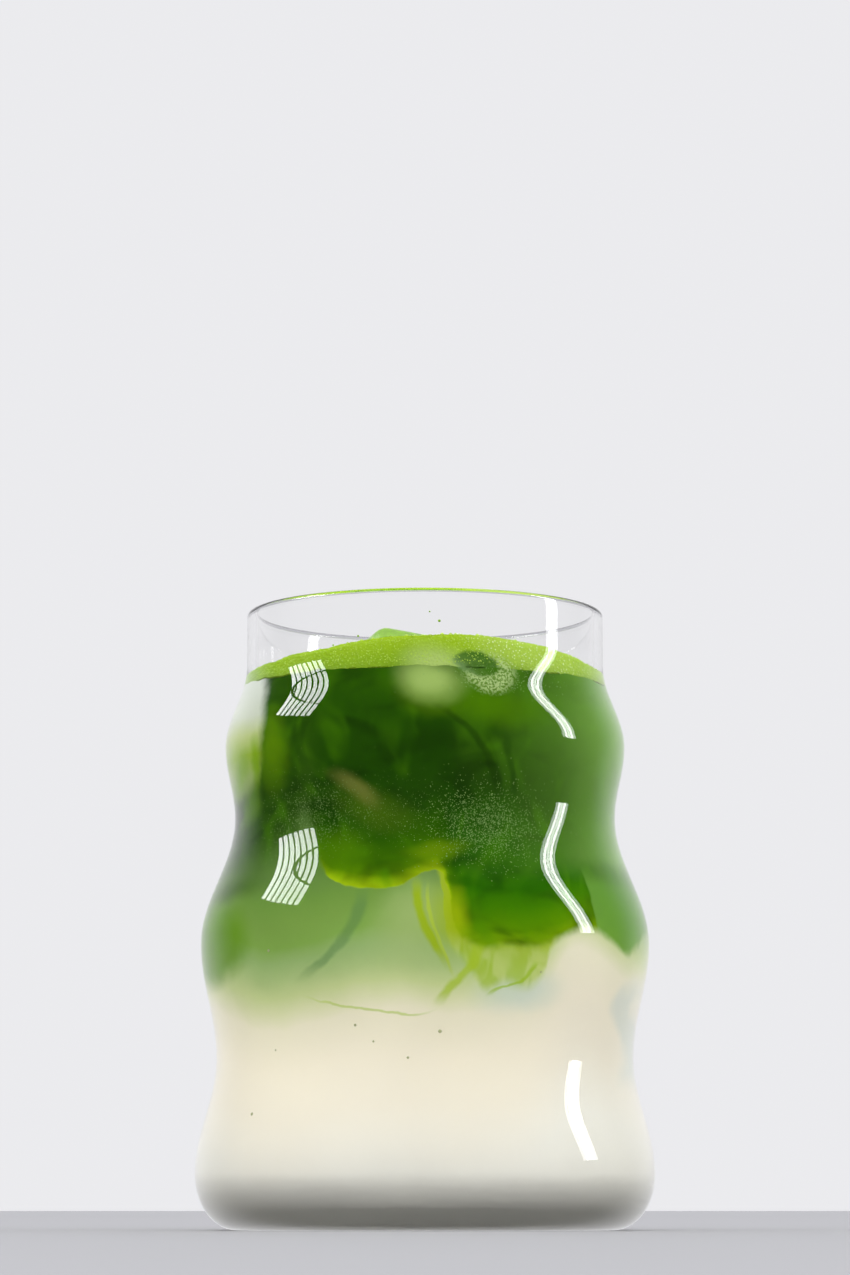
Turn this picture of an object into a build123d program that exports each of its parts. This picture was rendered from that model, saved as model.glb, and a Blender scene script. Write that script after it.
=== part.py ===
from build123d import *
from math import cos, exp, pi, radians, sin
import os

# Iced matcha latte in a wavy tumbler: a turned clear glass, milk below, matcha
# above it, a heaped foam and three ice cubes that break the surface.
# Millimetres, +Z up, the origin at the middle of the foot.

# Glass: one turned wall with three crests and two necks under a plain collar.
glass_height = 117.0
belly_radius = 43.3
wall_thickness = 1.8
floor_thickness = 5.5
foot_radius = 35.5
foot_height = 10.5
collar_height = 10.5
# How far each ring of the wall lies inside the belly, from the foot up, and
# where it lies on the wavy run between the belly and the collar.
low_neck_inset, low_neck_share = 3.9, 0.224
middle_crest_inset, middle_crest_share = 0.8, 0.449
high_neck_inset, high_neck_share = 7.1, 0.696
high_crest_inset, high_crest_share = 5.2, 0.839
collar_inset = 9.2
inner_corner = 7.5

# Drink: the level, the layer line between milk and matcha, and the clearances.
level_drop = 13.5
milk_height = 51.0
wall_clearance = 0.1
layer_clearance = 0.1

# Swells of the layer line: distance from the axis, bearing, width and height.
layer_swells = [
    (36.0, 255.0, 13.0, 15.0),
    (38.0, 205.0, 14.0, -6.0),
    (36.0, 325.0, 15.0, 4.0),
    (34.0, 120.0, 17.0, 8.0),
    (36.0, 45.0, 14.0, -5.0),
]

# Foam: how high it stands above the level at the wall and at its heap.
foam_edge_rise = 2.4
foam_heap_rise = 6.6
foam_heap_place = (1.0, -22.0)
foam_heap_width = 19.0
foam_back_rise = 4.2
foam_back_place = (-12.0, 14.0)
foam_back_width = 14.0

# Ice: edge length, corner rounding, place of the middle in plan, its depth
# under the level, and the turn about X, Y and Z in degrees. The lengths are for
# a mouth of this inner radius, and follow the glass's own mouth.
ice_mouth_radius = 32.3
ice_rounding = 3.0
ice_clearance = 0.1
ice_cubes = {
    "ice_top": (19.0, (-4.2, -5.8), 2.2, (-11.0, 6.0, 24.0)),
    "ice_front": (17.0, (12.8, -18.3), 6.2, (12.0, -10.0, 47.0)),
    "ice_side": (13.5, (-21.0, -12.5), 6.0, (-5.0, 8.0, 24.0)),
}

# Worked out from the sizes above.
level = glass_height - level_drop
wave_run = glass_height - collar_height - foot_height
lip_radius = wall_thickness / 2
ice_fit = (belly_radius - collar_inset - wall_thickness) / ice_mouth_radius
rings = [
    (foot_height, belly_radius),
    (foot_height + low_neck_share * wave_run, belly_radius - low_neck_inset),
    (foot_height + middle_crest_share * wave_run, belly_radius - middle_crest_inset),
    (foot_height + high_neck_share * wave_run, belly_radius - high_neck_inset),
    (foot_height + high_crest_share * wave_run, belly_radius - high_crest_inset),
    (glass_height - collar_height, belly_radius - collar_inset),
]
samples_per_wave = 6
corner_samples = 7


def wall_curves(inset):
    """The wavy wall moved in by inset: a smooth half wave between each two rings."""
    curves = []
    for (low, low_radius), (high, high_radius) in zip(rings, rings[1:]):
        points = []
        for step in range(samples_per_wave + 1):
            share = step / samples_per_wave
            blend = (1 - cos(pi * share)) / 2
            radius = low_radius + (high_radius - low_radius) * blend
            points.append((radius - inset, low + (high - low) * share))
        curves.append(Spline(*points, tangents=[(0, 1), (0, 1)]))
    return curves


def corner_curve(flat_radius, side_radius, bottom, top):
    """The rounded corner from the flat of a floor out and up to the belly."""
    points = []
    for step in range(corner_samples + 1):
        angle = pi / 2 * step / corner_samples
        radius = flat_radius + (side_radius - flat_radius) * sin(angle)
        points.append((radius, bottom + (top - bottom) * (1 - cos(angle))))
    return Spline(*points, tangents=[(1, 0), (0, 1)])


def make_glass():
    collar_radius = rings[-1][1]
    inner_belly = belly_radius - wall_thickness
    lip = glass_height - lip_radius
    outside = [
        Line((0, 0), (foot_radius, 0)),
        corner_curve(foot_radius, belly_radius, 0, foot_height),
        *wall_curves(0),
        Line((collar_radius, rings[-1][0]), (collar_radius, lip)),
        ThreePointArc(
            (collar_radius, lip),
            (collar_radius - lip_radius, glass_height),
            (collar_radius - wall_thickness, lip),
        ),
    ]
    inside = [
        Line(
            (collar_radius - wall_thickness, lip),
            (collar_radius - wall_thickness, rings[-1][0]),
        ),
        *wall_curves(wall_thickness),
        corner_curve(
            inner_belly - inner_corner, inner_belly, floor_thickness, foot_height
        ),
        Line((0, floor_thickness), (inner_belly - inner_corner, floor_thickness)),
        Line((0, 0), (0, floor_thickness)),
    ]
    return turned(outside + inside)


def turned(edges):
    """A solid turned about Z from the edges of its half section."""
    upright = [Plane.XZ * edge for edge in edges]
    return revolve(make_face(upright), Axis.Z)


def make_hollow(bottom_cut, top):
    """What the glass can hold between two heights, a clearance off the wall."""
    inset = wall_thickness + wall_clearance
    side = belly_radius - inset
    bottom = floor_thickness + wall_clearance
    collar_radius = rings[-1][1] - inset
    roof = glass_height
    hollow = turned(
        [
            Line((0, bottom), (side - inner_corner, bottom)),
            corner_curve(side - inner_corner, side, bottom, foot_height),
            *wall_curves(inset),
            Line((collar_radius, rings[-1][0]), (collar_radius, roof)),
            Line((collar_radius, roof), (0, roof)),
            Line((0, roof), (0, bottom)),
        ]
    )
    return hollow & slab(bottom_cut, top)


def slab(low, high):
    """A wide block between two heights."""
    width = 3 * belly_radius
    middle = (low + high) / 2
    return Pos(0, 0, middle) * Box(width, width, high - low)


def swell(x, y, place, width):
    """A round hump of height one at a place, fading over its width."""
    away = (x - place[0]) ** 2 + (y - place[1]) ** 2
    return exp(-away / width**2)


def layer_line(x, y):
    """Height of the boundary between the milk and the matcha."""
    height = milk_height
    for reach, bearing, width, rise in layer_swells:
        place = (reach * cos(radians(bearing)), reach * sin(radians(bearing)))
        height += rise * swell(x, y, place, width)
    return height


def foam_top(x, y):
    """Height of the foam, heaped at the front and lower behind."""
    heap = (foam_heap_rise - foam_edge_rise) * swell(
        x, y, foam_heap_place, foam_heap_width
    )
    back = (foam_back_rise - foam_edge_rise) * swell(
        x, y, foam_back_place, foam_back_width
    )
    return level + foam_edge_rise + heap + back


def below(surface, shift, depth):
    """The solid that reaches a depth down from a height function, shifted."""
    reach = 1.2 * belly_radius
    count = 15
    grid = [-reach + 2 * reach * step / (count - 1) for step in range(count)]
    rows = [[Vector(x, y, surface(x, y) + shift) for y in grid] for x in grid]
    sheet = Face.make_surface_from_array_of_points(rows)
    return extrude(sheet, amount=depth, dir=(0, 0, -1))


def ice_cube(name, growth=0.0):
    """A cube with rounded edges, where it floats, grown on every side."""
    edge, place, depth, turns = ice_cubes[name]
    size = edge * ice_fit + 2 * growth
    block = Box(size, size, size)
    block = fillet(block.edges(), ice_rounding * ice_fit + growth)
    seat = Pos(place[0] * ice_fit, place[1] * ice_fit, level - depth * ice_fit)
    return seat * Rot(*turns) * block


def make_milk():
    under = below(layer_line, -layer_clearance / 2, glass_height)
    return make_hollow(0, level) & under


def make_matcha():
    under = below(layer_line, layer_clearance / 2, glass_height)
    matcha = make_hollow(0, level) - under
    for name in ice_cubes:
        matcha -= ice_cube(name, ice_clearance)
    return matcha


def make_foam():
    foam = make_hollow(level + layer_clearance, glass_height)
    foam &= below(foam_top, 0, glass_height)
    for name in ice_cubes:
        foam -= ice_cube(name, ice_clearance)
    return foam


def main():
    os.makedirs("parts", exist_ok=True)
    export_step(make_glass(), "parts/glass.step")
    export_step(make_milk(), "parts/milk.step")
    export_step(make_matcha(), "parts/matcha.step")
    export_step(make_foam(), "parts/foam.step")
    for name in ice_cubes:
        export_step(ice_cube(name), f"parts/{name}.step")


main()
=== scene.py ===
"""Iced matcha latte in a wavy tumbler, laid out as an add-on and run as a script."""

from math import atan2, cos, exp, hypot, pi, radians, sin, sqrt, tau
from random import Random

import bmesh
import bpy
import numpy as np
from bpy.props import (
    FloatProperty,
    FloatVectorProperty,
    IntProperty,
    PointerProperty,
)
from mathutils import Euler, Matrix, Vector, noise


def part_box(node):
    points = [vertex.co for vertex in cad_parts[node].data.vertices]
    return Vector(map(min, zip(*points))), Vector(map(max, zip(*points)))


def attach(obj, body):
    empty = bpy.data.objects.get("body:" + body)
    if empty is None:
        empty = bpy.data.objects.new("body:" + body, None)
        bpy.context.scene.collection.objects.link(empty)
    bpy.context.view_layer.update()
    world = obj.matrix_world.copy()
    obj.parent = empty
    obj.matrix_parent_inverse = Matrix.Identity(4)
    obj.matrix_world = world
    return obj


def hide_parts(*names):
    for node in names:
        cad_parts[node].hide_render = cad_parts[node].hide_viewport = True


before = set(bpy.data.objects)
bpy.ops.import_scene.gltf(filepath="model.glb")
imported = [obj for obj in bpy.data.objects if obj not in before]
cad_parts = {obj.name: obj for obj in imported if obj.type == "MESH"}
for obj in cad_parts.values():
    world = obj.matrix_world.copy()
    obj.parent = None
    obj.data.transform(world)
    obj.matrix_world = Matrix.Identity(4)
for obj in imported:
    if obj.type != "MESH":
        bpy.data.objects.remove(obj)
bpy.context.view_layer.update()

bl_info = {
    "name": "Iced Matcha Latte",
    "version": (1, 0, 0),
    "blender": (4, 5, 0),
    "location": "View3D > Sidebar > Matcha",
    "description": "A wavy glass of milk and matcha with foam and ice",
    "category": "Add Mesh",
}

MM = 0.001
BODY = "root"
GLASS_LOW, GLASS_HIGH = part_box("glass")
GLASS_HEIGHT = GLASS_HIGH[2] / MM
BELLY_RADIUS = (GLASS_HIGH[0] - GLASS_LOW[0]) / 2 / MM
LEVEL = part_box("matcha")[1][2] / MM

# The foot's rounded corner, the upright collar and how far it lies inside the
# belly, in millimetres.
FOOT_HEIGHT = 10.5
COLLAR_HEIGHT = 10.5
COLLAR_INSET = 9.2
# How far each ring and neck of the wall lies inside the belly, and its share of
# the wavy run between the foot and the collar, from the foot up.
WAVES = [(3.9, 0.224), (0.8, 0.449), (7.1, 0.696), (5.2, 0.839)]
# Steps round the lip's half circle.
LIP_STEPS = 12

# The foam's top sheet before it is heaped, over the level, in millimetres, and
# the rings and steps round of its mesh.
FOAM_RISE = 1.5
FOAM_RINGS = 90
FOAM_FACETS = 384
# The share of the foam's depth that moves with its top.
FOAM_ROOT = 0.2
# The size of its fine bubbles in relief, and how far they stand out, in millimetres.
FOAM_CELL = 0.9
FOAM_RELIEF = 0.28

# Larger bubbles on the foam's top, and these and the froth at its wall together.
TOP_BUBBLES = 1500
ALL_BUBBLES = 3000

# The ice's drawn size, melted corners and unevenness, as shares of a cube's edge.
ICE_SIZE = 0.985
ICE_BEVEL = 0.15
ICE_LUMPS = 0.012


def srgb(hex_colour):
    """Turns a hex colour such as 8FB030 into linear red, green and blue."""
    values = [int(hex_colour[i : i + 2], 16) / 255 for i in (0, 2, 4)]
    linear = [v / 12.92 if v <= 0.04045 else ((v + 0.055) / 1.055) ** 2.4 for v in values]
    return (*linear, 1.0)


class MatchaGlassSizes(bpy.types.PropertyGroup):
    """Sizes of the turned glass, in millimetres."""

    wall: FloatProperty(name="Wall", description="Thickness of the wall", default=1.8)
    floor: FloatProperty(name="Floor", description="Thickness of the base", default=5.5)
    foot: FloatProperty(name="Foot", description="Radius of the flat foot", default=35.5)
    corner: FloatProperty(
        name="Inner corner", description="Width of the floor's rounded corner", default=7.5
    )
    facets: IntProperty(
        name="Facets", description="Steps round the turned shapes", default=256, min=32
    )
    tint: FloatVectorProperty(
        name="Tint",
        description="Colour of the glass",
        subtype="COLOR",
        size=4,
        min=0,
        max=1,
        default=srgb("FFFFFF"),
    )


class MatchaDrinkSizes(bpy.types.PropertyGroup):
    """Sizes of the drink and its foam, in millimetres."""

    reach: FloatProperty(
        name="Reach", description="How far the drink reaches into the wall", default=0.15
    )
    foam_depth: FloatProperty(
        name="Foam depth", description="How far the foam hangs under the level", default=1.4
    )
    foam_edge: FloatProperty(
        name="Foam edge", description="Rise of the foam at the side walls", default=0.6
    )
    foam_heap: FloatProperty(
        name="Foam heap", description="Rise of the foam's heap over its edge", default=4.5
    )
    bubble: FloatProperty(
        name="Bubble", description="Radius of the largest foam bubbles", default=0.5
    )
    seed: IntProperty(name="Seed", description="Seed of the scattered bubbles", default=7)


class MatchaStageSettings(bpy.types.PropertyGroup):
    """The studio: camera, floor, backdrop and lights."""

    camera_distance: FloatProperty(
        name="Camera distance", default=0.753, unit="LENGTH", description="From the axis"
    )
    camera_height: FloatProperty(
        name="Camera height", default=0.004, unit="LENGTH", description="Above the floor"
    )
    camera_pitch: FloatProperty(
        name="Camera pitch",
        default=radians(8.2),
        subtype="ANGLE",
        description="How far the camera looks up",
    )
    focal_length: FloatProperty(
        name="Focal length", default=111.9, description="Of a 36 mm sensor, in millimetres"
    )
    backdrop: FloatProperty(
        name="Backdrop", default=0.855, description="Brightness of the bright studio"
    )
    fill: FloatProperty(
        name="Fill", default=1.97, description="Brightness of the light on the drink"
    )
    room: FloatProperty(
        name="Room", default=0.04, description="Brightness that the glass mirrors from before it"
    )


# Shapes


def wall_radius(height, inset=0.0):
    """Radius of the outer wall at a height in millimetres, moved in by inset."""
    run = GLASS_HEIGHT - COLLAR_HEIGHT - FOOT_HEIGHT
    rings = [(FOOT_HEIGHT, BELLY_RADIUS)]
    rings += [(FOOT_HEIGHT + share * run, BELLY_RADIUS - ring) for ring, share in WAVES]
    rings.append((GLASS_HEIGHT - COLLAR_HEIGHT, BELLY_RADIUS - COLLAR_INSET))
    if height >= rings[-1][0]:
        return rings[-1][1] - inset
    for (low, low_radius), (high, high_radius) in zip(rings, rings[1:]):
        if height <= high:
            share = max(0.0, (height - low) / (high - low))
            blend = (1 - cos(pi * share)) / 2
            return low_radius + (high_radius - low_radius) * blend - inset
    return rings[-1][1] - inset


def corner_points(flat, side, bottom, top, count=14):
    """Points of a rounded corner from a floor's flat out and up to the belly."""
    points = []
    for step in range(count + 1):
        angle = pi / 2 * step / count
        radius = flat + (side - flat) * sin(angle)
        points.append((radius, bottom + (top - bottom) * (1 - cos(angle))))
    return points


def wall_points(inset, low, high, gap=1.0):
    """Points up the wavy wall between two heights, moved in by inset."""
    count = max(1, round((high - low) / gap))
    heights = [low + (high - low) * step / count for step in range(count + 1)]
    return [(wall_radius(height, inset), height) for height in heights]


def lathe(outline, facets):
    """A bmesh turned about Z from an outline of radius and height, outwards."""
    shape = bmesh.new()
    points = [shape.verts.new((radius * MM, 0, height * MM)) for radius, height in outline]
    edges = [shape.edges.new(pair) for pair in zip(points, points[1:])]
    bmesh.ops.spin(
        shape,
        geom=points + edges,
        cent=(0, 0, 0),
        axis=(0, 0, 1),
        angle=tau,
        steps=facets,
        use_merge=True,
    )
    bmesh.ops.remove_doubles(shape, verts=shape.verts, dist=0.001 * MM)
    bmesh.ops.recalc_face_normals(shape, faces=shape.faces)
    return shape


def finish_piece(shape, name, material, nodes):
    """Makes an object from a bmesh, shades it smooth and hangs it on the body."""
    mesh = bpy.data.meshes.new(name)
    shape.to_mesh(mesh)
    shape.free()
    mesh.shade_smooth()
    mesh.materials.append(material)
    piece = bpy.data.objects.new(name, mesh)
    bpy.context.scene.collection.objects.link(piece)
    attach(piece, BODY)
    if nodes:
        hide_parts(*nodes)
    return piece


def swell(x, y, place, widths):
    """A round hump of height one at a place, fading over its two widths."""
    return exp(-(((x - place[0]) / widths[0]) ** 2) - ((y - place[1]) / widths[1]) ** 2)


def foam_height(x, y, sizes):
    """Height of the foam's top over a place in plan, in millimetres."""
    heap = sizes.foam_heap * swell(x, y, (4.0, -27.0), (29.0, 20.0))
    back = 2.4 * swell(x, y, (-12.0, 16.0), (16.0, 13.0))
    ripple = 0.35 * noise.noise(Vector((x, y, 3.0)) / 6.0)
    return LEVEL + sizes.foam_edge + heap + back + ripple


# Materials


def add(tree, kind, links=None, **settings):
    """Adds a node, sets its settings and fills or links its input sockets."""
    node = tree.nodes.new(kind)
    for name, value in settings.items():
        setattr(node, name, value)
    for key, value in (links or {}).items():
        if isinstance(value, bpy.types.NodeSocket):
            tree.links.new(value, node.inputs[key])
        else:
            node.inputs[key].default_value = value
    return node


def new_material(name):
    """A node material with nothing in it but its output."""
    material = bpy.data.materials.new(name)
    material.use_nodes = True
    tree = material.node_tree
    tree.nodes.clear()
    return material, tree


def light_passing(tree, surface):
    """Lets lamps shine straight through a clear surface."""
    path = add(tree, "ShaderNodeLightPath")
    clear = add(tree, "ShaderNodeBsdfTransparent")
    return add(
        tree,
        "ShaderNodeMixShader",
        {0: path.outputs["Is Shadow Ray"], 1: surface, 2: clear.outputs[0]},
    )


def clear_material(name, settings):
    """A clear dielectric, with the shadow rays let through."""
    material, tree = new_material(name)
    shader = add(tree, "ShaderNodeBsdfPrincipled", settings)
    mixed = light_passing(tree, shader.outputs[0])
    add(tree, "ShaderNodeOutputMaterial", {0: mixed.outputs[0]})
    return material


def soda_lime_glass(tint):
    """Soda-lime tumbler glass, blown in a mould and fire polished: no grain."""
    return clear_material(
        "soda_lime_glass",
        {
            "Base Color": tint,
            "Roughness": 0.0,
            "IOR": 1.5,
            "Specular IOR Level": 0.32,
            "Transmission Weight": 1.0,
        },
    )


def wall_place(tree, warp, scale):
    """The place in millimetres, then its width across the front and its height,
    both pulled by slow eddies."""
    place = add(tree, "ShaderNodeTexCoord")
    in_mm = add(
        tree,
        "ShaderNodeVectorMath",
        {0: place.outputs["Object"], 3: 1000.0},
        operation="SCALE",
    )
    eddies = add(
        tree,
        "ShaderNodeTexNoise",
        {"Vector": in_mm.outputs[0], "Scale": 1 / scale, "Detail": 3.0, "Roughness": 0.55},
        noise_dimensions="3D",
    )
    centred = add(
        tree,
        "ShaderNodeVectorMath",
        {0: eddies.outputs["Color"], 1: (0.5, 0.5, 0.5)},
        operation="SUBTRACT",
    )
    pull = add(
        tree, "ShaderNodeVectorMath", {0: centred.outputs[0], 3: warp}, operation="SCALE"
    )
    moved = add(
        tree,
        "ShaderNodeVectorMath",
        {0: in_mm.outputs[0], 1: pull.outputs[0]},
        operation="ADD",
    )
    parts = add(tree, "ShaderNodeSeparateXYZ", {0: moved.outputs[0]})
    return in_mm.outputs[0], parts.outputs[0], parts.outputs[2]


def line_at(tree, along, points, span, rise=120.0):
    """The height of a line, from a few given points in millimetres."""
    share = add(
        tree, "ShaderNodeMapRange", {0: along, 1: span[0], 2: span[1], 3: 0.0, 4: 1.0}
    )
    curve = add(tree, "ShaderNodeFloatCurve", {"Value": share.outputs[0]})
    line = curve.mapping.curves[0]
    scaled = [
        ((x - span[0]) / (span[1] - span[0]), (y + rise / 2) / (1.5 * rise))
        for x, y in points
    ]
    line.points[0].location = scaled[0]
    line.points[-1].location = scaled[-1]
    for place in scaled[1:-1]:
        line.points.new(*place)
    curve.mapping.use_clip = False
    curve.mapping.update()
    back = add(
        tree,
        "ShaderNodeMapRange",
        {0: curve.outputs[0], 1: 0.0, 2: 1.0, 3: -rise / 2, 4: rise},
        clamp=False,
    )
    return back.outputs[0]


def over_line(tree, along, height, points, span):
    """How far a height lies over a line through a few given points, in millimetres."""
    line = line_at(tree, along, points, span)
    return add(tree, "ShaderNodeMath", {0: height, 1: line}, operation="SUBTRACT").outputs[0]


def fade(tree, value, none, full):
    """An amount that grows from none to one between two values."""
    return add(
        tree,
        "ShaderNodeMapRange",
        {0: value, 1: none, 2: full, 3: 0.0, 4: 1.0},
        interpolation_type="SMOOTHSTEP",
    ).outputs[0]


def strand(tree, along, across, points, width):
    """A thin trail along a path through a few given points: one on its line, fading at its width.
    """
    span = (min(p[0] for p in points), max(p[0] for p in points))
    away = over_line(tree, along, across, sorted(points), span)
    far = add(tree, "ShaderNodeMath", {0: away}, operation="ABSOLUTE")
    side = fade(tree, far.outputs[0], width, width * 0.25)
    middle, half = (span[0] + span[1]) / 2, (span[1] - span[0]) / 2
    reach = add(tree, "ShaderNodeMath", {0: along, 1: middle}, operation="SUBTRACT")
    length = add(tree, "ShaderNodeMath", {0: reach.outputs[0]}, operation="ABSOLUTE")
    ends = fade(tree, length.outputs[0], half, half * 0.5)
    return add(tree, "ShaderNodeMath", {0: side, 1: ends}, operation="MULTIPLY").outputs[0]


def spot(tree, x, z, middle, half, turn=0.0, soft=0.5):
    """An oval cloud: one inside, fading to none at its rim over its soft share."""
    place = add(tree, "ShaderNodeCombineXYZ", {0: x, 1: z, 2: 0.0})
    local = add(
        tree,
        "ShaderNodeMapping",
        {
            "Vector": place.outputs[0],
            "Location": (middle[0], middle[1], 0.0),
            "Rotation": (0.0, 0.0, radians(turn)),
            "Scale": (half[0], half[1], 1.0),
        },
        vector_type="TEXTURE",
    )
    reach = add(tree, "ShaderNodeVectorMath", {0: local.outputs[0]}, operation="LENGTH")
    return fade(tree, reach.outputs["Value"], 1.0, 1.0 - soft)


def layer(tree, under, over, amount, strength=1.0):
    """Lays a colour over another by an amount that varies over the surface."""
    share = add(
        tree, "ShaderNodeMath", {0: amount, 1: strength}, operation="MULTIPLY", use_clamp=True
    )
    mix = add(
        tree,
        "ShaderNodeMix",
        {0: share.outputs[0], 6: under, 7: over},
        data_type="RGBA",
    )
    return mix.outputs[2]


def ramp(tree, value, stops, interpolation="EASE"):
    """A run of colours over a value in millimetres, from a few named stops."""
    low, high = stops[0][0], stops[-1][0]
    share = add(tree, "ShaderNodeMapRange", {0: value, 1: low, 2: high, 3: 0.0, 4: 1.0})
    colours = add(tree, "ShaderNodeValToRGB", {0: share.outputs[0]})
    colours.color_ramp.interpolation = interpolation
    elements = colours.color_ramp.elements
    elements[0].position, elements[0].color = 0.0, srgb(stops[0][1])
    elements[1].position, elements[1].color = 1.0, srgb(stops[-1][1])
    for place, colour in stops[1:-1]:
        stop = elements.new((place - low) / (high - low))
        stop.color = srgb(colour)
    return colours.outputs[0]


# The run across the front that the edges below are drawn over, in millimetres.
ACROSS = (-46.0, 46.0)

# The haze of green that has sunk into the milk: its lower edge across the front.
HAZE_EDGE = [
    (-46, 44), (-40, 42.5), (-36, 41), (-31, 38), (-22, 38), (-13, 40), (-5, 40.5), (3, 39.5),
    (10, 40), (17, 42), (22, 46), (27, 51.5), (33, 49.5), (38, 46.5), (46, 47),
]
# The body of undiluted matcha: its lower edge, with a scallop left of the middle
# and a deeper lobe right of it.
BODY_EDGE = [
    (-46, 60), (-30, 61), (-24, 65), (-21.5, 69), (-19.5, 66), (-17.5, 63.2), (-14, 61.5),
    (-9, 60.7), (-5, 61.3), (-2, 62.6), (0.5, 63.7), (2.6, 64), (4.2, 60), (5.5, 53.5),
    (8, 50.2), (14, 49.6), (20, 49.8), (24, 51.4), (27.4, 53), (31, 53), (35, 50.6),
    (36.5, 49.6), (38.4, 51.2), (42, 57), (46, 60),
]
# The thin lime veil under the lobe, with its ragged lower edge.
VEIL_EDGE = [
    (-46, 75), (-2, 72), (2.5, 62), (4.5, 50), (7, 47), (9, 44.2), (11, 42), (14, 43.4),
    (19, 43), (21, 45), (22.6, 50), (25, 53), (28, 56), (34, 62), (46, 75),
]


# The trails that sink from the lobe into the milk. A point is its place along the
# run, then across it. They run up the wall, and the haze's line runs along it.
TRAILS = {
    "lobe_edge": [
        (45.8, 4.5), (48.6, 2.3), (52.6, 0.5), (56.9, -0.9), (61.3, -1.5), (64, -1.2)
    ],
    "lobe_thread": [(44, 5.2), (48, 3.4), (53, 1.7), (58, 0.6), (63, 0.4)],
    "middle_tail": [(39.8, 2.1), (42.2, 3.4), (44.7, 5.5), (47.2, 8.1), (50.1, 9.2), (53, 9.4)],
    "right_tail": [(41.4, 10.6), (43.4, 13.2), (44.6, 16.4), (46.2, 18.6), (49, 19.8)],
    "haze_line": [(-23, 42.5), (-15, 40.4), (-9, 39.4), (-4.6, 38.7), (0, 38.9), (3, 40.4)],
}


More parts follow.
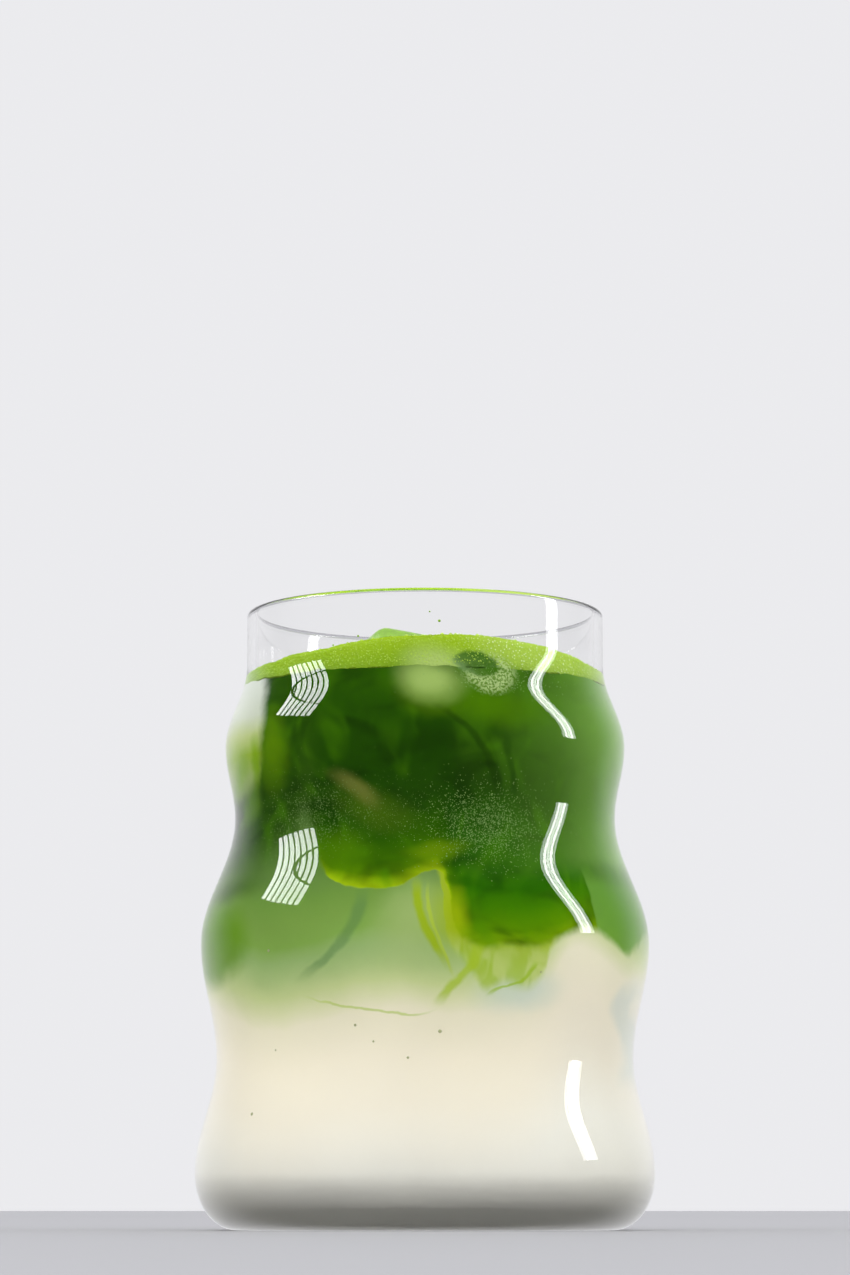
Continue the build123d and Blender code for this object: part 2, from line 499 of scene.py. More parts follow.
def milk_and_matcha():
    """Cold milk under strong whisked matcha: a glossy liquid, cream, lime and deep
    green, clouded where the two meet, pressed flat against the glass."""
    material, tree = new_material("milk_and_matcha")
    raw, x, z = wall_place(tree, warp=3.2, scale=11.0)
    _, fine_x, fine_z = wall_place(tree, warp=1.4, scale=3.5)

    # Milk with the haze in it, keyed by the height over the haze's edge.
    haze = over_line(tree, x, z, HAZE_EDGE, ACROSS)
    colour = ramp(
        tree,
        haze,
        [
            (-30.0, "E6E5DA"), (-18.0, "E9E4D3"), (-9.0, "EFE9D5"), (-1.0, "EDE8D0"),
            (2.0, "DCDFB4"), (4.5, "C9D599"), (7.5, "B0C586"), (10.5, "9BB775"),
            (13.5, "84A850"), (17.0, "7B9E49"), (21.0, "709542"), (26.0, "628440"),
        ],
        "LINEAR",
    )
    pale = spot(tree, x, z, (-2.0, 55.0), (9.0, 13.0), -20.0, 0.9)
    colour = layer(tree, colour, srgb("B4C684"), pale, 0.55)
    shade = strand(
        tree, fine_z, fine_x, [(44, -23), (47, -20), (49.4, -17), (53.7, -13.4), (62, -11)], 1.8
    )
    colour = layer(tree, colour, srgb("557F4C"), shade, 0.5)
    # Painted shadow: a blue-grey shade laid on the milk below the lobe.
    painted_blue_shadow = spot(tree, x, z, (16.5, 43.0), (11.0, 5.5), 8.0, 0.8)
    colour = layer(tree, colour, srgb("CBD8CC"), painted_blue_shadow, 0.75)
    rim_shade = strand(tree, z, x, [(24, 36), (34, 38), (42, 36), (48, 41)], 3.4)
    colour = layer(tree, colour, srgb("D0D8CF"), rim_shade, 0.7)
    left_green = spot(tree, x, z, (-39.5, 53.0), (10.0, 9.5), 0.0, 0.5)
    colour = layer(tree, colour, srgb("66941C"), left_green, 0.85)
    # Painted shade: a dark grey-green patch near the left edge.
    left_shade = spot(tree, x, z, (-35.5, 62.0), (8.0, 3.6), 8.0, 0.9)
    colour = layer(tree, colour, srgb("3F601C"), left_shade, 0.75)
    glow = spot(tree, x, z, (3.8, 55.0), (5.2, 9.5), 12.0, 0.9)
    colour = layer(tree, colour, srgb("A0B636"), glow, 0.75)

    # The veil under the lobe and the trails that sink from it into the milk.
    under = over_line(tree, fine_x, fine_z, VEIL_EDGE, ACROSS)
    veil = fade(tree, under, -0.4, 2.6)
    threads = wisps(tree, raw, (0.3, 0.3, 0.11), 0.4, 0.66, 1.2)
    veil_tone = layer(tree, srgb("BED06E"), srgb("A6C238"), threads)
    veil_tone = layer(tree, veil_tone, srgb("A4B822"), fade(tree, z, 47.0, 54.0))
    colour = layer(tree, colour, veil_tone, veil, 0.85)
    steady, drawn, level_trail = (z, x), (fine_z, fine_x), (fine_x, fine_z)
    trails = [
        (steady, TRAILS["lobe_edge"], 1.3, "9DB60A", 0.9),
        (steady, TRAILS["lobe_thread"], 0.5, "B4C83C", 0.7),
        (drawn, TRAILS["middle_tail"], 1.5, "A9C42C", 0.8),
        (drawn, TRAILS["right_tail"], 0.8, "9CBF24", 0.75),
        (level_trail, TRAILS["haze_line"], 0.36, "BCCF70", 0.75),
    ]
    for (along, across), points, width, tone, strength in trails:
        trail = strand(tree, along, across, points, width)
        colour = layer(tree, colour, srgb(tone), trail, strength)

    # The body of matcha: sharp at the scallop, melting into the milk at the lobe.
    over = over_line(tree, fine_x, fine_z, BODY_EDGE, ACROSS)
    lobe = fade(tree, x, 3.0, 8.0)
    left_side = fade(tree, x, -17.0, -22.0)
    left_soft = add(
        tree, "ShaderNodeMath", {0: left_side, 1: 11.0, 2: 0.45}, operation="MULTIPLY_ADD"
    )
    softness = add(
        tree,
        "ShaderNodeMath",
        {0: lobe, 1: 1.8, 2: left_soft.outputs[0]},
        operation="MULTIPLY_ADD",
    )
    cover = fade(tree, over, 0.0, softness.outputs[0])
    scallop_green = ramp(
        tree,
        over,
        [
            (0.0, "B0CC14"), (1.5, "8DB008"), (2.8, "5C8800"), (5.0, "3F6E00"),
            (9.0, "2F5E00"), (14.0, "264F06"), (22.0, "214B02"), (34.0, "234C02"),
            (42.0, "2D5902"),
        ],
        "LINEAR",
    )
    lobe_green = ramp(
        tree,
        over,
        [
            (0.0, "8FB20A"), (4.0, "5D8F00"), (8.0, "427D00"), (11.5, "2B6900"),
            (15.0, "2E640A"), (22.0, "2F5F0C"), (32.0, "2A4F0A"), (46.0, "3D6D07"),
        ],
        "LINEAR",
    )
    shaded = ramp(tree, over, [(0.0, "44661E"), (8.0, "365A12"), (20.0, "2B5206")], "LINEAR")
    scallop_green = layer(tree, scallop_green, shaded, left_side)
    green = layer(tree, scallop_green, lobe_green, lobe)
    dark_wisps = wisps(tree, raw, (0.07, 0.07, 0.12), 0.42, 0.75, 1.4)
    green = layer(tree, green, srgb("143202"), dark_wisps, 0.6)
    light_wisps = wisps(tree, raw, (0.09, 0.09, 0.06), 0.5, 0.85, 2.0)
    green = layer(tree, green, srgb("4F8A06"), light_wisps, 0.5)
    # Painted reflection: a pale veil of the bright room that the glass mirrors, laid on the green
    # towards the right edge above the lobe, and at the edge beside the lobe.
    right_reflection = add(
        tree,
        "ShaderNodeMapRange",
        {0: x, 1: 12.0, 2: 35.0, 3: 0.0, 4: 1.0},
        interpolation_type="LINEAR",
    ).outputs[0]
    beyond = over_line(tree, z, x, [(46, 33), (51.8, 31.4), (62.6, 28.5), (70, 26.5)], (46, 70))
    low = fade(tree, z, 67.0, 62.0)
    high = fade(tree, z, 62.0, 69.0)
    upper_reflection = add(tree, "ShaderNodeMath", {0: right_reflection, 1: high}, operation="MULTIPLY")
    reflection_green = ramp(tree, x, [(12.0, "56822A"), (24.0, "638F34"), (36.0, "8CBA5A")], "LINEAR")
    green = layer(tree, green, reflection_green, upper_reflection.outputs[0], 0.9)
    side = fade(tree, beyond, 0.0, 0.5)
    corner = add(tree, "ShaderNodeMath", {0: side, 1: low}, operation="MULTIPLY").outputs[0]
    green = layer(tree, green, srgb("6FA03F"), corner, 0.85)
    colour = layer(tree, colour, green, cover)

    # Clouds and currents inside the green.
    clouds = [
        ((-9.0, 76.0), (12.0, 5.0), -24.0, 0.95, "4A6C0C", 0.8),
        ((-12.5, 80.0), (7.5, 2.6), -34.0, 0.9, "7D8238", 0.75),
        ((-27.5, 88.0), (4.0, 10.0), 4.0, 0.9, "5F8A04", 0.85),
        ((1.0, 97.5), (9.0, 6.0), -12.0, 0.9, "587E08", 0.9),
        ((12.0, 95.0), (14.0, 5.0), -6.0, 0.9, "4C7A02", 0.8),
        ((0.8, 99.8), (8.5, 6.2), -14.0, 0.9, "A3BD68", 0.95),
        ((-31.6, 79.0), (2.6, 6.5), -12.0, 0.8, "5A8410", 0.85),
        ((-34.2, 76.0), (1.5, 4.0), -14.0, 0.6, "2C4226", 0.8),
        ((-15.0, 68.0), (8.0, 6.0), 15.0, 0.9, "4E7C02", 0.8),
        ((2.0, 68.0), (8.0, 2.6), 8.0, 0.9, "6A8E06", 0.8),
        ((6.0, 56.0), (3.0, 8.0), 10.0, 0.98, "9DB40A", 0.85),
        ((6.5, 62.2), (3.6, 1.3), -8.0, 0.8, "2A6400", 0.7),
    ]
    for middle, half, turn, soft, tone, strength in clouds:
        cloud = spot(tree, x, z, middle, half, turn, soft)
        colour = layer(tree, colour, srgb(tone), cloud, strength)
    veins = [
        ([(78, 13.0), (83, 12.4), (88, 10.0), (93, 5.0), (96, 0.5)], 1.3, "183403", 0.5),
        ([(78, 16.0), (84, 15.4), (90, 14.8)], 1.0, "1F4206", 0.4),
        ([(79, 14.6), (86, 13.8), (91, 12.0)], 1.2, "457512", 0.4),
    ]
    for points, width, tone, strength in veins:
        vein = strand(tree, z, x, points, width)
        colour = layer(tree, colour, srgb(tone), vein, strength)

    # The clear ice against the left wall, with lime trails running down it.
    side = over_line(
        tree, fine_z, fine_x, [(76, -34.5), (81, -30.8), (92, -29.0), (104, -28.2)], (76, 104)
    )
    left = fade(tree, side, 0.4, -1.8)
    tall = fade(tree, z, 79.0, 84.0)
    window = add(tree, "ShaderNodeMath", {0: left, 1: tall}, operation="MULTIPLY").outputs[0]
    ice_tone = ramp(
        tree,
        fine_z,
        [
            (78.0, "8FAE5C"), (84.0, "9EB562"), (88.0, "9CBA39"), (91.5, "C4D18D"),
            (95.0, "D3D9C8"), (103.0, "D6DBD3"),
        ],
        "LINEAR",
    )
    colour = layer(tree, colour, ice_tone, window, 0.95)
    drips = [((-33.4, 84.5), (1.7, 6.0), -8.0), ((-30.8, 86.5), (1.2, 6.5), 4.0)]
    for middle, half, turn in drips:
        trail = spot(tree, fine_x, fine_z, middle, half, turn, 0.9)
        colour = layer(tree, colour, srgb("7FA810"), trail, 0.85)
    level_line = strand(tree, x, z, [(-44, 102.6), (-34, 102.7), (-27, 102.9)], 0.35)
    colour = layer(tree, colour, srgb("A9C46A"), level_line, 0.9)
    colour = front_window(tree, colour, raw, fine_x, fine_z)

    shader = add(
        tree,
        "ShaderNodeBsdfPrincipled",
        {"Base Color": colour, "Roughness": 0.5, "IOR": 1.34, "Specular IOR Level": 0.0},
    )
    add(tree, "ShaderNodeOutputMaterial", {0: shader.outputs[0]})
    return material


def on_front(tree, place):
    """One on the front of the wall, none over the middle and the back."""
    parts = add(tree, "ShaderNodeSeparateXYZ", {0: place})
    return fade(tree, parts.outputs[1], -19.0, -25.0)


def wisps(tree, place, scales, none, full, swirl):
    """Currents drawn out by slow stirring, from a noise with its own scale in
    each direction per millimetre."""
    drawn = add(
        tree, "ShaderNodeVectorMath", {0: place, 1: scales}, operation="MULTIPLY"
    ).outputs[0]
    noise_node = add(
        tree,
        "ShaderNodeTexNoise",
        {"Vector": drawn, "Scale": 1.0, "Detail": 1.6, "Roughness": 0.45, "Distortion": swirl},
        noise_dimensions="3D",
    )
    return fade(tree, noise_node.outputs[0], none, full)


def front_window(tree, colour, place, x, z):
    """Clear ice against the front wall: dark, with a rim of crushed bubbles."""
    near = on_front(tree, place)
    ragged = wisps(tree, place, (2.2, 2.2, 2.2), 0.42, 0.56, 0.4)
    rim = spot(tree, x, z, (11.6, 101.2), (5.8, 4.8), -22.0, 0.5)
    rim = add(tree, "ShaderNodeMath", {0: rim, 1: near}, operation="MULTIPLY").outputs[0]
    speckled = add(tree, "ShaderNodeMath", {0: rim, 1: ragged}, operation="MULTIPLY")
    colour = layer(tree, colour, srgb("7C9A48"), rim, 0.55)
    colour = layer(tree, colour, srgb("BBD08E"), speckled.outputs[0], 0.75)
    pane = spot(tree, x, z, (9.4, 102.9), (5.0, 2.7), -14.0, 0.3)
    pane = add(tree, "ShaderNodeMath", {0: pane, 1: near}, operation="MULTIPLY").outputs[0]
    slope = add(tree, "ShaderNodeMath", {0: x, 1: z}, operation="ADD").outputs[0]
    tone = ramp(tree, slope, [(107.5, "7F9E68"), (110.5, "4C7426"), (114.0, "3C6A0C")], "LINEAR")
    return layer(tree, colour, tone, pane, 0.95)


def whisked_foam():
    """Whisked matcha foam: wet bubbles of a few tenths of a millimetre, lime green,
    paler where they are coarse, with a painted highlight on each bubble's crown,
    glossy on every wall."""
    material, tree = new_material("whisked_foam")
    raw, x, z = wall_place(tree, warp=1.6, scale=5.0)
    cells = add(
        tree,
        "ShaderNodeTexVoronoi",
        {"Vector": raw, "Scale": 1 / 0.55, "Randomness": 1.0},
        feature="F1",
    )
    coarse = add(
        tree,
        "ShaderNodeTexNoise",
        {"Vector": raw, "Scale": 1 / 7.0, "Detail": 2.0},
        noise_dimensions="3D",
    )
    depth = add(tree, "ShaderNodeMath", {0: z, 1: LEVEL}, operation="SUBTRACT").outputs[0]
    colour = ramp(
        tree, depth, [(-2.0, "6E9408"), (0.5, "7FA800"), (3.0, "90B604"), (6.0, "98BC10")], "LINEAR"
    )
    colour = layer(tree, colour, srgb("A9C63A"), coarse.outputs[0], 0.35)
    # Painted highlight: the middle of each bubble cell is lightened, and whitened further on the
    # coarse side.
    crown_highlight = fade(tree, cells.outputs["Distance"], 0.32, 0.08)
    colour = layer(tree, colour, srgb("CFE27E"), crown_highlight, 0.3)
    coarse_side = spot(tree, x, z, (20.0, 106.0), (16.0, 6.0), -10.0, 0.6)
    froth_highlight = add(tree, "ShaderNodeMath", {0: coarse_side, 1: crown_highlight}, operation="MULTIPLY")
    colour = layer(tree, colour, srgb("AFCB58"), coarse_side, 0.5)
    colour = layer(tree, colour, srgb("EEF5CC"), froth_highlight.outputs[0], 0.8)
    near = on_front(tree, raw)
    cloud = spot(tree, x, z, (2.0, 102.5), (8.5, 5.5), -12.0, 0.85)
    cloud = add(tree, "ShaderNodeMath", {0: cloud, 1: near}, operation="MULTIPLY").outputs[0]
    colour = layer(tree, colour, srgb("B4CB74"), cloud, 0.85)
    colour = front_window(tree, colour, raw, x, z)
    bump = add(
        tree,
        "ShaderNodeBump",
        {"Height": cells.outputs["Distance"], "Strength": 0.5, "Distance": 0.25 * MM},
        invert=True,
    )
    shader = add(
        tree,
        "ShaderNodeBsdfPrincipled",
        {"Base Color": colour, "Roughness": 0.35, "IOR": 1.2, "Normal": bump.outputs[0]},
    )
    add(tree, "ShaderNodeOutputMaterial", {0: shader.outputs[0]})
    return material


def wet_ice():
    """Clear freezer ice, melting: wet faces that bend and blur what is behind them,
    stained green by the drink."""
    return clear_material(
        "wet_ice",
        {
            "Base Color": srgb("D3E8BC"),
            "Roughness": 0.3,
            "IOR": 1.31,
            "Transmission Weight": 1.0,
        },
    )


def bubble_film(name, hex_colour, roughness=0.12):
    """Thin wet bubble film: it takes the drink's colour, with a sharp gloss."""
    material, tree = new_material(name)
    shader = add(
        tree,
        "ShaderNodeBsdfPrincipled",
        {"Base Color": srgb(hex_colour), "Roughness": roughness, "IOR": 1.34},
    )
    add(tree, "ShaderNodeOutputMaterial", {0: shader.outputs[0]})
    return material


# Pieces


class MESH_OT_matcha_glass(bpy.types.Operator):
    """Turns the wavy tumbler from its outline"""

    bl_idname = "mesh.matcha_glass"
    bl_label = "Glass"

    def execute(self, context):
        sizes = context.scene.matcha_glass
        inner = BELLY_RADIUS - sizes.wall
        lip = sizes.wall / 2
        collar = wall_radius(GLASS_HEIGHT)
        lip_height = GLASS_HEIGHT - lip
        outline = [(0, 0)]
        outline += corner_points(sizes.foot, BELLY_RADIUS, 0, FOOT_HEIGHT)
        outline += wall_points(0, FOOT_HEIGHT, lip_height)[1:]
        for step in range(1, LIP_STEPS):
            angle = pi * step / LIP_STEPS
            outline.append((collar - lip + lip * cos(angle), lip_height + lip * sin(angle)))
        outline += wall_points(sizes.wall, FOOT_HEIGHT, lip_height)[::-1]
        outline += corner_points(inner - sizes.corner, inner, sizes.floor, FOOT_HEIGHT)[-2::-1]
        outline.append((0, sizes.floor))
        shape = lathe(outline, sizes.facets)
        finish_piece(shape, "tumbler", soda_lime_glass(sizes.tint), ["glass"])
        return {"FINISHED"}


class MESH_OT_matcha_drink(bpy.types.Operator):
    """Fills the glass with milk and matcha up to the level"""

    bl_idname = "mesh.matcha_drink"
    bl_label = "Milk and matcha"

    def execute(self, context):
        glass = context.scene.matcha_glass
        reach = context.scene.matcha_drink.reach
        inset = glass.wall - reach
        side = BELLY_RADIUS - inset
        floor = glass.floor - reach
        outline = [(0, floor)]
        outline += corner_points(side - glass.corner, side, floor, FOOT_HEIGHT)
        outline += wall_points(inset, FOOT_HEIGHT, LEVEL)[1:]
        outline.append((0, LEVEL))
        shape = lathe(outline, glass.facets)
        finish_piece(shape, "drink", milk_and_matcha(), ["milk", "matcha"])
        return {"FINISHED"}


def foam_underside(angle):
    """How far the foam's lower edge at the wall wanders from even, by bearing."""
    place = Vector((cos(angle), sin(angle), 0.0))
    slow = noise.noise(place * 2.3 + Vector((0.7, 2.0, 5.0)))
    quick = noise.noise(place * 11.0)
    return 0.8 * slow + 0.35 * quick


class MESH_OT_matcha_foam(bpy.types.Operator):
    """Heaps the foam on the drink, with its fine bubbles in relief"""

    bl_idname = "mesh.matcha_foam"
    bl_label = "Foam"

    def execute(self, context):
        glass = context.scene.matcha_glass
        sizes = context.scene.matcha_drink
        inset = glass.wall - sizes.reach - 0.03
        low = LEVEL - sizes.foam_depth
        outline = [(0, low), (wall_radius(low, inset) * 0.97, low)]
        top = LEVEL + FOAM_RISE
        outline += wall_points(inset, low, top, 0.4)
        edge = wall_radius(top, inset)
        rings = range(1, FOAM_RINGS + 1)
        outline += [(edge * (1 - step / FOAM_RINGS), top) for step in rings]
        root = FOAM_ROOT * sizes.foam_depth
        shape = lathe(outline, FOAM_FACETS)
        for vert in shape.verts:
            x, y, z = (value / MM for value in vert.co)
            far = hypot(x, y)
            angle = atan2(y, x)
            if z > LEVEL - root:
                share = min(1.0, (z - LEVEL + root) / (FOAM_RISE + root))
                target = foam_height(x, y, sizes)
                cell = noise.voronoi(Vector((x, y, z * 0.3)) / FOAM_CELL)[0]
                dome = sqrt(max(0.0, 0.45 - cell[0] ** 2))
                relief = FOAM_RELIEF * dome if share > 0.99 else 0
                z = LEVEL + (target - LEVEL) * share + relief
                if far > 0.9 * edge:
                    scale = wall_radius(z, inset) / max(far, 1e-6)
                    if share < 0.99 or far > 0.995 * edge:
                        x, y = x * scale, y * scale
            else:
                z += foam_underside(angle) * (far / edge) ** 4
                if far > 0.985 * edge:
                    scale = wall_radius(z, inset) / max(far, 1e-6)
                    x, y = x * scale, y * scale
            vert.co = Vector((x, y, z)) * MM
        bmesh.ops.recalc_face_normals(shape, faces=shape.faces)
        finish_piece(shape, "foam_heap", whisked_foam(), ["foam"])
        return {"FINISHED"}


# Each cube: its edge, its middle's place, its depth under the level, all in
# millimetres, and its turn about X, Y and Z in degrees.
ICE = {
    "ice_top": (19.0, (-4.2, -5.8), 2.2, (-11.0, 6.0, 24.0)),
    "ice_front": (17.0, (12.8, -18.3), 6.2, (12.0, -10.0, 47.0)),
    "ice_side": (13.5, (-21.0, -12.5), 6.0, (-5.0, 8.0, 24.0)),
}


class MESH_OT_matcha_ice(bpy.types.Operator):
    """Floats the ice cubes, their corners melted round"""

    bl_idname = "mesh.matcha_ice"
    bl_label = "Ice"

    def execute(self, context):
        material = wet_ice()
        for name, (edge, place, depth, turns) in ICE.items():
            shape = bmesh.new()
            bmesh.ops.create_cube(shape, size=edge * ICE_SIZE)
            bmesh.ops.bevel(
                shape,
                geom=shape.edges[:],
                offset=edge * ICE_BEVEL,
                segments=5,
                profile=0.5,
                affect="EDGES",
                material=-1,
            )
            bmesh.ops.subdivide_edges(
                shape,
                edges=[e for e in shape.edges if e.calc_length() > 0.3 * edge],
                cuts=14,
                use_grid_fill=True,
            )
            for vert in shape.verts:
                lump = noise.noise(vert.co / 5.0 + Vector((edge, 0, 0)))
                vert.co *= 1.0 + ICE_LUMPS * (lump - 0.6)
            turn = Euler([radians(angle) for angle in turns]).to_matrix().to_4x4()
            seat = Matrix.Translation(Vector((place[0], place[1], LEVEL - depth)))
            bmesh.ops.transform(
                shape, matrix=Matrix.Scale(MM, 4) @ seat @ turn, verts=shape.verts
            )
            bmesh.ops.recalc_face_normals(shape, faces=shape.faces)
            finish_piece(shape, name.replace("ice", "cube"), material, [name])
        return {"FINISHED"}


def scatter(places, subdivisions=1):
    """Joins one small ball for each place and radius, in millimetres."""
    ball = bmesh.new()
    bmesh.ops.create_icosphere(ball, subdivisions=subdivisions, radius=1.0)
    corners = np.array([vert.co for vert in ball.verts])
    faces = np.array([[vert.index for vert in face.verts] for face in ball.faces])
    ball.free()
    middles = np.array([place for place, _ in places])
    radii = np.array([radius for _, radius in places])
    points = (middles[:, None, :] + corners[None] * radii[:, None, None]) * MM
    joined = faces[None] + len(corners) * np.arange(len(places))[:, None, None]
    mesh = bpy.data.meshes.new("balls")
    mesh.from_pydata(points.reshape(-1, 3).tolist(), [], joined.reshape(-1, 3).tolist())
    shape = bmesh.new()
    shape.from_mesh(mesh)
    bpy.data.meshes.remove(mesh)
    return shape


class MESH_OT_matcha_foam_bubbles(bpy.types.Operator):
    """Scatters larger bubbles over the foam and along its lower edge"""

    bl_idname = "mesh.matcha_foam_bubbles"
    bl_label = "Foam bubbles"

    def execute(self, context):
        glass = context.scene.matcha_glass
        sizes = context.scene.matcha_drink
        draw = Random(sizes.seed)
        inset = glass.wall - sizes.reach
        places = []
        while len(places) < TOP_BUBBLES:
            angle = draw.uniform(0, tau)
            far = sqrt(draw.random()) * (wall_radius(LEVEL + 3, inset) - 0.8)
            x, y = far * cos(angle), far * sin(angle)
            radius = sizes.bubble * (0.35 + 0.65 * draw.random() ** 3)
            places.append(((x, y, foam_height(x, y, sizes) + 0.1), radius))
        while len(places) < ALL_BUBBLES:
            angle = radians(draw.gauss(12.0, 42.0) - 90)
            x, y = (wall_radius(LEVEL + 2, inset) * way(angle) for way in (cos, sin))
            z = draw.uniform(LEVEL - 0.6, foam_height(x, y, sizes) - 0.1)
            radius = 0.4 * sizes.bubble * (0.4 + 0.6 * draw.random() ** 2)
            far = wall_radius(z, inset) - 0.3 * radius
            places.append(((far * cos(angle), far * sin(angle), z), radius))
        film = bubble_film("lime_bubble_film", "B4D250")
        finish_piece(scatter(places), "foam_bubbles", film, [])
        return {"FINISHED"}


# Where the fine bubbles cling to the wall: bearing from the front in degrees and
# height, how far each group spreads, how many and how large they are.
CLINGING = [
    ((-36.0, 75.3), (9.0, 3.4), 1700, 0.07),
    ((18.5, 73.0), (8.5, 3.8), 3000, 0.095),
    ((-12.0, 75.0), (14.0, 3.6), 900, 0.055),
    ((70.0, 76.0), (9.0, 5.0), 420, 0.08),
    ((24.0, 100.3), (12.0, 1.6), 360, 0.1),
    ((150.0, 76.0), (30.0, 4.0), 1100, 0.085),
    ((-140.0, 80.0), (25.0, 5.0), 700, 0.085),
]


class MESH_OT_matcha_clinging_bubbles(bpy.types.Operator):
    """Scatters the fine bubbles that cling to the wall under the level"""

    bl_idname = "mesh.matcha_clinging_bubbles"
    bl_label = "Clinging bubbles"

    def execute(self, context):
        glass = context.scene.matcha_glass
        sizes = context.scene.matcha_drink
        draw = Random(sizes.seed + 1)
        places = []
        for (bearing, height), (spread, rise), count, size in CLINGING:
            for _ in range(count):
                angle = radians(draw.gauss(bearing, spread) - 90)
                z = min(draw.gauss(height, rise), LEVEL - 1)
                radius = size * (0.5 + 0.9 * draw.random() ** 2)
                far = wall_radius(z, glass.wall - sizes.reach) - 0.25 * radius
                places.append(((far * cos(angle), far * sin(angle), z), radius))
        film = bubble_film("pale_bubble_film", "86AA5E")
        finish_piece(scatter(places), "clinging_bubbles", film, [])
        return {"FINISHED"}


# Beads on the wall: bearing from the front in degrees, height and radius.
MILK_BEADS = [
    (-19.0, 36.8, 0.28), (4.0, 35.6, 0.36), (-14.0, 33.8, 0.22), (-45.0, 32.6, 0.2),
    (-4.6, 30.8, 0.26), (-51.0, 20.8, 0.34), (-43.5, 50.6, 0.3), (31.0, 46.5, 0.2),
    (110.0, 34.0, 0.3), (160.0, 30.0, 0.26), (-120.0, 33.0, 0.3), (-165.0, 27.0, 0.24),
]
COLLAR_DROPS = [
    (4.6, 110.9, 0.26), (-22.0, 108.4, 0.2), (7.0, 107.6, 0.24), (9.6, 106.6, 0.3),
    (-31.0, 107.0, 0.18), (1.5, 112.6, 0.16), (120.0, 108.0, 0.3), (-150.0, 109.0, 0.24),
]


class MESH_OT_matcha_beads(bpy.types.Operator):
    """Sets small bubbles in the milk's face and matcha drops on the bare wall"""

    bl_idname = "mesh.matcha_beads"
    bl_label = "Beads and drops"

    def execute(self, context):
        wall = context.scene.matcha_glass.wall
        reach = context.scene.matcha_drink.reach
        milk_film = bubble_film("milk_bubble_film", "A9AE84", 0.05)
        matcha_drop = bubble_film("matcha_drop", "8DB52A", 0.05)
        groups = [
            ("milk_beads", MILK_BEADS, wall - reach, milk_film, "milk"),
            ("collar_drops", COLLAR_DROPS, wall, matcha_drop, "foam"),
        ]
        for name, beads, inset, film, slot in groups:
            places = []
            for bearing, height, radius in beads:
                angle = radians(bearing - 90)
                far = wall_radius(height, inset) - 0.3 * radius
                places.append(((far * cos(angle), far * sin(angle), height), radius))
            finish_piece(scatter(places, 2), name, film, [])
        return {"FINISHED"}


# The stage


# The window's panes: how many, the first one's bearing from the front and height
# over level and the steps between them, all in degrees, and their radiance.
WINDOW_COLUMNS, WINDOW_ROWS = 7, 2
WINDOW_BEARING, WINDOW_TURN = -99.0, 4.3
WINDOW_HEIGHT, WINDOW_CLIMB = 30.0, 11.6
WINDOW_RADIANCE = 12.0
# The bearing of each slat of the strip, in degrees, and its radiance.
STRIP_SLATS = [(81.0, 6.0), (83.1, 19.0), (85.2, 13.0), (87.3, 19.0), (89.4, 6.0)]
FLOOR_HALF = 6.0


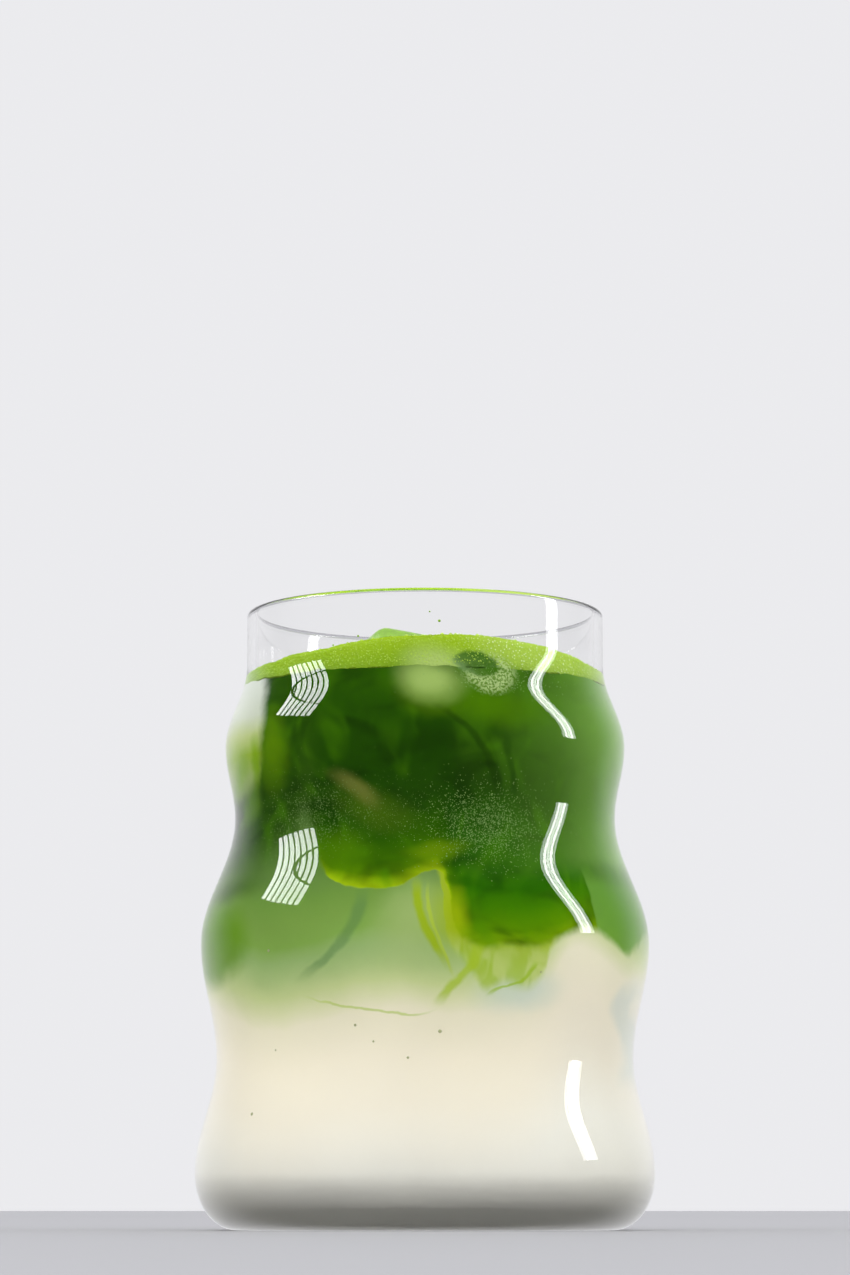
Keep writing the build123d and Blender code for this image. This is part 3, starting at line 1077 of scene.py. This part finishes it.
class SCENE_OT_matcha_stage(bpy.types.Operator):
    """Sets the floor, the backdrop, the lights and the camera"""

    bl_idname = "scene.matcha_stage"
    bl_label = "Stage"

    def execute(self, context):
        stage = context.scene.matcha_stage
        self.lay_floor()
        self.light_room(context.scene, stage)
        self.place_lamps(context.scene)
        self.place_camera(context.scene, stage)
        context.scene.view_settings.view_transform = "Standard"
        return {"FINISHED"}

    def lay_floor(self):
        """A matt pale table top, wide enough to fill the view."""
        shape = bmesh.new()
        bmesh.ops.create_grid(shape, x_segments=1, y_segments=1, size=FLOOR_HALF)
        mesh = bpy.data.meshes.new("floor")
        shape.to_mesh(mesh)
        shape.free()
        material, tree = new_material("pale_table")
        shader = add(
            tree,
            "ShaderNodeBsdfPrincipled",
            {"Base Color": srgb("949497"), "Roughness": 0.7},
        )
        add(tree, "ShaderNodeOutputMaterial", {0: shader.outputs[0]})
        mesh.materials.append(material)
        floor = bpy.data.objects.new("floor", mesh)
        bpy.context.scene.collection.objects.link(floor)
        floor.visible_glossy = False

    def light_room(self, scene, stage):
        """A bright backdrop behind the glass, a dim room before it that the glass
        mirrors, and a brighter fill on the drink."""
        world = bpy.data.worlds.new("studio")
        scene.world = world
        world.use_nodes = True
        tree = world.node_tree
        tree.nodes.clear()
        way = add(tree, "ShaderNodeTexCoord")
        parts = add(tree, "ShaderNodeSeparateXYZ", {0: way.outputs["Generated"]})
        before = add(
            tree,
            "ShaderNodeMapRange",
            {0: parts.outputs[1], 1: 0.35, 2: 0.9, 3: stage.room, 4: stage.backdrop},
            interpolation_type="SMOOTHSTEP",
        )
        path = add(tree, "ShaderNodeLightPath")
        mirrored = add(
            tree,
            "ShaderNodeMath",
            {0: path.outputs["Is Glossy Ray"], 1: path.outputs["Is Transmission Ray"]},
            operation="SUBTRACT",
            use_clamp=True,
        )
        seen = add(
            tree,
            "ShaderNodeMath",
            {0: path.outputs["Is Camera Ray"], 1: path.outputs["Is Transmission Ray"]},
            operation="ADD",
        )
        direct = add(
            tree,
            "ShaderNodeMath",
            {0: seen.outputs[0], 1: path.outputs["Diffuse Depth"]},
            operation="SUBTRACT",
            use_clamp=True,
        )
        fill = add(
            tree,
            "ShaderNodeMix",
            {0: direct.outputs[0], 2: stage.fill, 3: stage.backdrop},
            data_type="FLOAT",
        )
        strength = add(
            tree,
            "ShaderNodeMix",
            {0: mirrored.outputs[0], 2: fill.outputs[0], 3: before.outputs[0]},
            data_type="FLOAT",
        )
        glow = add(
            tree,
            "ShaderNodeBackground",
            {0: srgb("FCFCFF"), 1: strength.outputs[0]},
        )
        add(tree, "ShaderNodeOutputWorld", {0: glow.outputs[0]})

    def place_lamps(self, scene):
        """A paned window at the left, a tall strip at the right and a soft fill."""
        middle = Vector((0, 0, 0.08))
        for column in range(WINDOW_COLUMNS):
            for row in range(WINDOW_ROWS):
                bearing = radians(WINDOW_BEARING + WINDOW_TURN * column)
                height = radians(WINDOW_HEIGHT + WINDOW_CLIMB * row)
                place = middle + 0.9 * self.heading(bearing, height)
                pane = (0.048 * cos(height), 0.172)
                name = f"window_{column}_{row}"
                self.lamp(scene, name, place, middle, pane, WINDOW_RADIANCE, True)
        for slat, (bearing, radiance) in enumerate(STRIP_SLATS):
            strip = 0.85 * self.heading(radians(bearing), 0.0) + Vector((0, 0, 0.5))
            level = Vector((0, 0, strip.z))
            self.lamp(
                scene, f"strip_{slat}", strip, level, (0.027, 0.76), radiance, True, radians(8)
            )
        front = Vector((0.1, -1.6, 0.7))
        self.lamp(scene, "front_fill", front, middle, (1.6, 1.2), 0.8, False)

    def heading(self, bearing, height):
        """The direction at a bearing from the front and a height over level."""
        return Vector((sin(bearing) * cos(height), -cos(bearing) * cos(height), sin(height)))

    def lamp(self, scene, name, place, aim, size, radiance, mirrored, lean=0.0):
        """A rectangular lamp that faces a point, as bright all over as radiance;
        the glass mirrors it, or it lights the drink."""
        data = bpy.data.lights.new(name, "AREA")
        data.shape = "RECTANGLE"
        data.size, data.size_y = size
        data.energy = radiance * pi * size[0] * size[1]
        lamp = bpy.data.objects.new(name, data)
        lamp.location = place
        turn = (aim - place).to_track_quat("-Z", "Y").to_matrix()
        lamp.rotation_euler = (turn @ Matrix.Rotation(lean, 3, "Z")).to_euler()
        lamp.visible_camera = False
        lamp.visible_transmission = False
        lamp.visible_glossy = mirrored
        lamp.visible_diffuse = not mirrored
        scene.collection.objects.link(lamp)

    def place_camera(self, scene, stage):
        """A long lens just above the table, looking a little up."""
        data = bpy.data.cameras.new("camera")
        data.sensor_fit = "AUTO"
        data.sensor_width = 36.0
        data.lens = stage.focal_length
        data.clip_start = 0.01
        camera = bpy.data.objects.new("camera", data)
        camera.location = (0.0, -stage.camera_distance, stage.camera_height)
        camera.rotation_euler = (pi / 2 + stage.camera_pitch, 0.0, 0.0)
        scene.collection.objects.link(camera)
        scene.camera = camera


class VIEW3D_PT_matcha(bpy.types.Panel):
    """Lists the pieces of the latte and the stage"""

    bl_label = "Iced Matcha Latte"
    bl_space_type = "VIEW_3D"
    bl_region_type = "UI"
    bl_category = "Matcha"

    def draw(self, context):
        layout = self.layout
        for group in (getattr(context.scene, name) for name in GROUPS):
            box = layout.box()
            for name in group.__annotations__:
                box.prop(group, name)
        for operator in MAKERS:
            layout.operator(operator.bl_idname)


GROUPS = {
    "matcha_glass": MatchaGlassSizes,
    "matcha_drink": MatchaDrinkSizes,
    "matcha_stage": MatchaStageSettings,
}
MAKERS = [
    MESH_OT_matcha_glass,
    MESH_OT_matcha_drink,
    MESH_OT_matcha_foam,
    MESH_OT_matcha_ice,
    MESH_OT_matcha_foam_bubbles,
    MESH_OT_matcha_clinging_bubbles,
    MESH_OT_matcha_beads,
    SCENE_OT_matcha_stage,
]


def register():
    for name, group in GROUPS.items():
        bpy.utils.register_class(group)
        setattr(bpy.types.Scene, name, PointerProperty(type=group))
    for item in [*MAKERS, VIEW3D_PT_matcha]:
        bpy.utils.register_class(item)


def unregister():
    for item in [VIEW3D_PT_matcha, *reversed(MAKERS)]:
        bpy.utils.unregister_class(item)
    for name, group in reversed(GROUPS.items()):
        delattr(bpy.types.Scene, name)
        bpy.utils.unregister_class(group)


def main():
    register()
    bpy.ops.mesh.matcha_glass()
    bpy.ops.mesh.matcha_drink()
    bpy.ops.mesh.matcha_foam()
    bpy.ops.mesh.matcha_ice()
    bpy.ops.mesh.matcha_foam_bubbles()
    bpy.ops.mesh.matcha_clinging_bubbles()
    bpy.ops.mesh.matcha_beads()
    bpy.ops.scene.matcha_stage()


if __name__ == "__main__":
    main()
